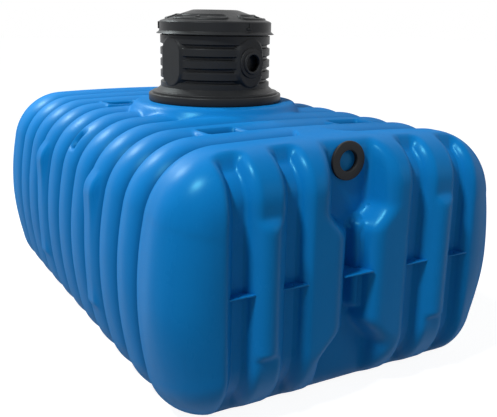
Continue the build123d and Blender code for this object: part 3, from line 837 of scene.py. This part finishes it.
gasket = turned(
    "collar_gasket_ring",
    [
        (GASKET_INNER, GASKET_FOOT),
        (GASKET_OUTER, GASKET_FOOT),
        (GASKET_OUTER, FLANGE_FOOT),
        (GASKET_INNER, FLANGE_FOOT),
    ],
)
dress(gasket, RUBBER, "tank", "black_rubber", "collar_gasket")
flange = turned(
    "riser_flange_ring",
    [
        (COLLAR_INNER, FLANGE_FOOT),
        (FLANGE_RADIUS, FLANGE_FOOT, 0.003),
        (FLANGE_RADIUS, LEDGE_FOOT, 0.008),
        (COLLAR_INNER, LEDGE_FOOT),
    ],
)
dress(flange, BLACK, "tank", "black_plastic", "riser_flange")
collar = turned(
    "riser_collar_ring",
    [
        (COLLAR_INNER, LEDGE_FOOT),
        (LEDGE_RADIUS, LEDGE_FOOT),
        (LEDGE_RADIUS, WAIST_FOOT, 0.005),
        (COLLAR_WAIST, WAIST_FOOT, 0.006),
        (CREST_RADIUS, SHAFT_FOOT, 0.003),
        (BORE_RADIUS, SHAFT_FOOT),
        (BORE_RADIUS, COLLAR_STEP),
        (COLLAR_INNER, COLLAR_STEP),
    ],
)
dress(collar, BLACK, "tank", "black_plastic", "riser_collar")

PAD_FACE, PAD_HALF_WIDTH, BRANCH_BORE = 0.373, 0.095, 0.054
FIRST_PAD = RISER_TURN - math.pi / 2
PAD_MIDDLE = (SHAFT_FOOT + SHAFT_TOP) / 2
shaft = follow(
    mesh_object("riser_shaft_ribbed", [(0, 0, 0)], []),
    ribbed_shaft(),
    Sides=300,
    Rows=120,
    Foot=SHAFT_FOOT,
    Height=SHAFT_TOP - SHAFT_FOOT,
    Spigot_Height=SPIGOT_TOP - SHAFT_TOP,
    Crest_Radius=CREST_RADIUS,
    Spigot_Radius=SPIGOT_RADIUS,
    Bore_Radius=BORE_RADIUS,
    Notch_Depth=0.018,
    Notch_Half_Height=0.015,
    First_Notch=0.047,
    Notch_Pitch=0.0745,
    Notches=4,
    Pads=4,
    First_Pad=FIRST_PAD,
    Pad_Face=PAD_FACE,
    Pad_Half_Width=PAD_HALF_WIDTH,
    Pad_Half_Straight=0.058,
    Pad_Lean=math.tan(math.radians(48)),
    Material=BLACK,
)
pad_out = Vector((math.cos(FIRST_PAD), math.sin(FIRST_PAD), 0))
open_hole(shaft, (0, 0, PAD_MIDDLE), pad_out, BRANCH_BORE, 0.2)
settle(shaft, 30)
dress(shaft, BLACK, "tank", "black_plastic", "riser_shaft")


def facing(place, way):
    """A place whose own upright axis points a given way."""
    return Matrix.Translation(place) @ Vector(way).to_track_quat("Z", "Y").to_matrix().to_4x4()


branch = turned(
    "branch_seal_ring",
    [
        (BRANCH_BORE, 0),
        (PAD_HALF_WIDTH, 0),
        (PAD_HALF_WIDTH, 0.010, 0.003),
        (0.070, 0.010),
        (0.070, 0.020, 0.004),
        (BRANCH_BORE, 0.020, 0.004),
    ],
    sides=96,
    axis=facing(pad_out * PAD_FACE + Vector((0, 0, PAD_MIDDLE)), pad_out),
)
dress(branch, RUBBER, "tank", "black_rubber", "branch_seal")
SLEEVE_REACH, SLEEVE_RADIUS, INLET_BORE, SEAL_RADIUS = -0.026, 0.0715, 0.0565, 0.105
inlet = turned(
    "inlet_seal_ring",
    [
        (INLET_BORE, SLEEVE_REACH),
        (SLEEVE_RADIUS, SLEEVE_REACH, 0.003),
        (SLEEVE_RADIUS, 0),
        (SEAL_RADIUS, 0),
        (SEAL_RADIUS, 0.016, 0.006),
        (INLET_BORE, 0.016, 0.005),
    ],
    sides=96,
    axis=facing((0, -RECESS_FLOOR, PARTING + INLET), (0, -1, 0)),
)
dress(inlet, RUBBER, "tank", "black_rubber", "inlet_seal")

# Cover with its panels, arrow marks and lugs
COVER_FOOT = SHAFT_TOP + 0.0055
COVER_SHOULDER, COVER_TOP = PARTING + 1.268, PARTING + 1.340
COVER_UNDERSIDE = SPIGOT_TOP + 0.0003
SHOULDER_DROP, COVER_INNER = 0.008, 0.3635
TOP_RADIUS, SHOULDER_RADIUS, COVER_RADIUS, SKIRT_RADIUS = 0.150, 0.370, 0.378, 0.400
cover = turned(
    "cover_lid",
    [
        (0.0, COVER_TOP),
        (0.0, COVER_UNDERSIDE),
        (COVER_INNER, COVER_UNDERSIDE),
        (COVER_INNER, COVER_FOOT),
        (SKIRT_RADIUS, COVER_FOOT, 0.002),
        (COVER_RADIUS, COVER_FOOT + 0.018, 0.005),
        (COVER_RADIUS, COVER_SHOULDER - SHOULDER_DROP, 0.004),
        (SHOULDER_RADIUS, COVER_SHOULDER, 0.004),
        (TOP_RADIUS, COVER_TOP, 0.08),
    ],
    steps=4,
)
dress(cover, BLACK, "cover", "black_plastic", "cover")


def cone_level(radius):
    """Height of the cover's top at a radius."""
    slope = (COVER_TOP - COVER_SHOULDER) / (SHOULDER_RADIUS - TOP_RADIUS)
    return COVER_TOP - (radius - TOP_RADIUS) * slope


def panel_outline(inset, lift, middle=0.298, half_width=0.042, half_span=math.radians(30), sides=28, caps=9):
    """Outline of a cover panel: an arc-shaped band with round ends, drawn in and lifted off the cone."""
    reach, points = half_width - inset, []
    turns = [half_span * (2 * i / sides - 1) for i in range(sides + 1)]
    swings = [math.pi * i / caps for i in range(1, caps)]
    points += [((middle + reach) * math.cos(t), (middle + reach) * math.sin(t)) for t in turns]
    for end, start in ((half_span, 0), (-half_span, math.pi)):
        x, y = middle * math.cos(end), middle * math.sin(end)
        bearings = [end + start + swing for swing in swings]
        points += [(x + reach * math.cos(t), y + reach * math.sin(t)) for t in bearings]
        if end > 0:
            inner = middle - reach
            points += [(inner * math.cos(t), inner * math.sin(t)) for t in reversed(turns)]
    return [(x, y, cone_level(math.hypot(x, y)) + lift) for x, y in points]


FIRST_PANEL, FIRST_LUG = math.radians(-49 - 90), math.radians(7 - 90)
PANEL_STEPS = ((0, -0.003), (0, 0.002), (0.002, 0.006), (0.005, 0.009), (0.013, 0.009), (0.018, 0.003))
panel = prism("cover_panels_raised", [panel_outline(inset, lift) for inset, lift in PANEL_STEPS])
settle(follow(panel, around_axis(), Copies=4, First_Turn=FIRST_PANEL, Material=BLACK), 40)
dress(panel, BLACK, "cover", "black_plastic", "cover_panels")

ARROW = [(0.275, 0.0), (0.309, 0.014), (0.309, -0.014)]
arrow = prism("cover_arrows", [[(x, y, cone_level(x) + lift) for x, y in ARROW] for lift in (0.001, 0.009)])
bevelled(arrow, 0.0015)
settle(follow(arrow, around_axis(), Copies=4, First_Turn=FIRST_PANEL, Material=BLACK))
dress(arrow, BLACK, "cover", "black_plastic")

LUG_HEAD, LUG_BACK, LUG_FACE = COVER_SHOULDER - SHOULDER_DROP, 0.374, 0.386
HOOK = [(-0.015, -0.046), (0.015, -0.046), (0.015, 0.0), (0.003, 0.0), (0.003, -0.032), (-0.015, -0.032)]
lug = prism("cover_lugs_hooked", [[(out, t, LUG_HEAD + z) for t, z in HOOK] for out in (LUG_BACK, LUG_FACE)])
bevelled(lug, 0.0015)
settle(follow(lug, around_axis(), Copies=3, First_Turn=FIRST_LUG, Material=BLACK))
dress(lug, BLACK, "cover", "black_plastic", "cover_lugs")

# Web tabs across the grooves and the recess at the parting plane
TAB_HALF, TAB_SETBACK, TAB_HOLE, TAB_HOLE_DEPTH, TAB_EDGE = 0.004, 0.008, 0.008, 0.034, 0.0012
TAB_LEVELS = (PARTING - TAB_HALF, PARTING + TAB_HALF)


def groove_tab_outline(level, bite=0.003):
    """Outline of a plate that fills a groove, from its floor to just behind its mouth."""
    across = np.linspace(-0.110, 0.110, 33)
    depth = groove_depth(across + GROOVES[0]) + bite
    keep = depth > TAB_SETBACK
    floor = [(x, deep - END_FACE, level) for x, deep in zip(across[keep], depth[keep])]
    reach = floor[-1][0] + 0.002
    return floor + [(reach, TAB_SETBACK - END_FACE, level), (-reach, TAB_SETBACK - END_FACE, level)]


def drilled(piece, centre, radius, sides=20):
    """A flat piece with a round hole through it."""
    turns = np.linspace(0, 2 * math.pi, sides, endpoint=False)
    x, y = centre
    rim = [(x + radius * math.cos(t), y + radius * math.sin(t)) for t in turns]
    cutter = prism("drill", [[(*place, level) for place in rim] for level in (0.5, 1.0)])
    hole = piece.modifiers.new("hole", "BOOLEAN")
    hole.object, hole.operation, hole.solver = cutter, "DIFFERENCE", "EXACT"
    mesh = bpy.data.meshes.new_from_object(piece.evaluated_get(bpy.context.evaluated_depsgraph_get()))
    piece.modifiers.remove(hole)
    piece.data = mesh
    bpy.data.objects.remove(cutter)
    return piece


tab = prism("groove_tabs", [groove_tab_outline(level) for level in TAB_LEVELS])
drilled(bevelled(tab, TAB_EDGE), (0.0, TAB_HOLE_DEPTH - END_FACE), TAB_HOLE)
follow(
    tab,
    across_ends(),
    Copies=len(GROOVES),
    Pitch=GROOVES[1] - GROOVES[0],
    Pair_Pitch=GROOVES[2] - GROOVES[0],
    First=GROOVES[0],
    Material=BLUE,
)
dress(settle(tab), BLUE, "tank", "blue_plastic", "front_web_tabs", "back_web_tabs")
PLATE = [(-RECESS_WAIST, TAB_SETBACK), (-0.045, 0.168), (0.045, 0.168), (RECESS_WAIST, TAB_SETBACK)]
plate = prism("recess_tabs", [[(x, deep - END_FACE, level) for x, deep in PLATE] for level in TAB_LEVELS])
bevelled(plate, TAB_EDGE)
follow(plate, across_ends(), Copies=1, Pitch=0.0, Pair_Pitch=0.0, First=0.0, Material=BLUE)
dress(settle(plate), BLUE, "tank", "blue_plastic")

# Camera at the photograph's place, and studio light
FRAME_WIDTH, FOCAL_LENGTH, SENSOR = 497, 704.1574, 36.0
CAMERA_PLACE = (-2.2712, -4.3639, 1.2884 + PARTING)
yaw, pitch, roll = 0.5301, 0.2637, 0.0182
ahead = Vector((math.sin(yaw) * math.cos(pitch), math.cos(yaw) * math.cos(pitch), -math.sin(pitch)))
right = Vector((math.cos(yaw), -math.sin(yaw), 0))
up = right.cross(ahead)
right, up = (
    right * math.cos(roll) + up * math.sin(roll),
    up * math.cos(roll) - right * math.sin(roll),
)
camera = bpy.data.objects.new("camera", bpy.data.cameras.new("camera"))
camera.matrix_world = Matrix.Translation(CAMERA_PLACE) @ Matrix((right, up, -ahead)).transposed().to_4x4()
camera.data.sensor_width = SENSOR
camera.data.lens = FOCAL_LENGTH / FRAME_WIDTH * SENSOR
bpy.context.scene.collection.objects.link(camera)
bpy.context.scene.camera = camera


def area_light(name, place, target, size, power, colour=(1, 1, 1)):
    """Square lamp that faces a target."""
    lamp = bpy.data.objects.new(name, bpy.data.lights.new(name, "AREA"))
    lamp.data.shape, lamp.data.size = "SQUARE", size
    lamp.data.energy, lamp.data.color = power, colour
    lamp.location = place
    lamp.rotation_euler = (Vector(target) - Vector(place)).to_track_quat("-Z", "Y").to_euler()
    bpy.context.scene.collection.objects.link(lamp)


area_light("key", (-7.6, -3.0, 11.8), (0, 0, 0.8), 1.8, 1450, (0.94, 1.0, 1.0))
area_light("fill", (3.5, -6.0, 3.0), (0, 0, 0.7), 3.0, 25)
area_light("sheen", (-2.7, 4.6, 5.6), (-0.6, 0, 0.9), 0.7, 270, (0.9, 1.0, 1.0))
glow = bpy.data.objects.new("glow", bpy.data.lights.new("glow", "POINT"))
glow.data.energy, glow.data.shadow_soft_size = 16, 0.1
glow.location = (0, -0.8, 1.0)
bpy.context.scene.collection.objects.link(glow)


def seen(tree):
    """1 for rays from the camera, a mirror or a clear surface, 0 for the rest."""
    ways = ("Is Camera Ray", "Is Glossy Ray", "Is Transmission Ray")
    camera_ray, glossy_ray, clear_ray = [node(tree, "ShaderNodeLightPath", output=way) for way in ways]
    return (camera_ray + glossy_ray + clear_ray).clamped()


SOFT_LIGHT, WHITE, FLOOR_GLOW, FLOOR_REACH = 0.16, 1.0, 0.93, 60
world = bpy.context.scene.world or bpy.data.worlds.new("studio")
bpy.context.scene.world = world
world.use_nodes = True
sky = world.node_tree
sky.nodes.clear()
studio = node(sky, "ShaderNodeBackground", {}, {"Color": (0.80, 0.92, 1.0, 1), "Strength": SOFT_LIGHT})
backdrop = node(sky, "ShaderNodeBackground", {}, {"Color": (1, 1, 1, 1), "Strength": WHITE})
mixed = node(sky, "ShaderNodeMixShader", {}, {0: seen(sky), 1: studio, 2: backdrop})
sky.links.new(mixed.socket, sky.nodes.new("ShaderNodeOutputWorld").inputs["Surface"])
bpy.context.scene.view_settings.view_transform = "Standard"

floor_mesh = bpy.data.meshes.new("floor")
corners = [(x * FLOOR_REACH, y * FLOOR_REACH, 0) for x, y in ((-1, -1), (1, -1), (1, 1), (-1, 1))]
floor_mesh.from_pydata(corners, [], [(0, 1, 2, 3)])
floor = bpy.data.objects.new("floor", floor_mesh)
bpy.context.scene.collection.objects.link(floor)
pale, pale_tree, floor_place = plastic("pale floor")
shade = blend(noise(floor_place, 3), (0.26, 0.26, 0.26, 1), (0.30, 0.30, 0.30, 1))
finish(
    pale,
    Base_Color=shade,
    Roughness=0.9,
    Specular_IOR_Level=0.1,
    Emission_Color=(1, 1, 1, 1),
    Emission_Strength=seen(pale_tree) * FLOOR_GLOW,
)
floor_mesh.materials.append(pale)
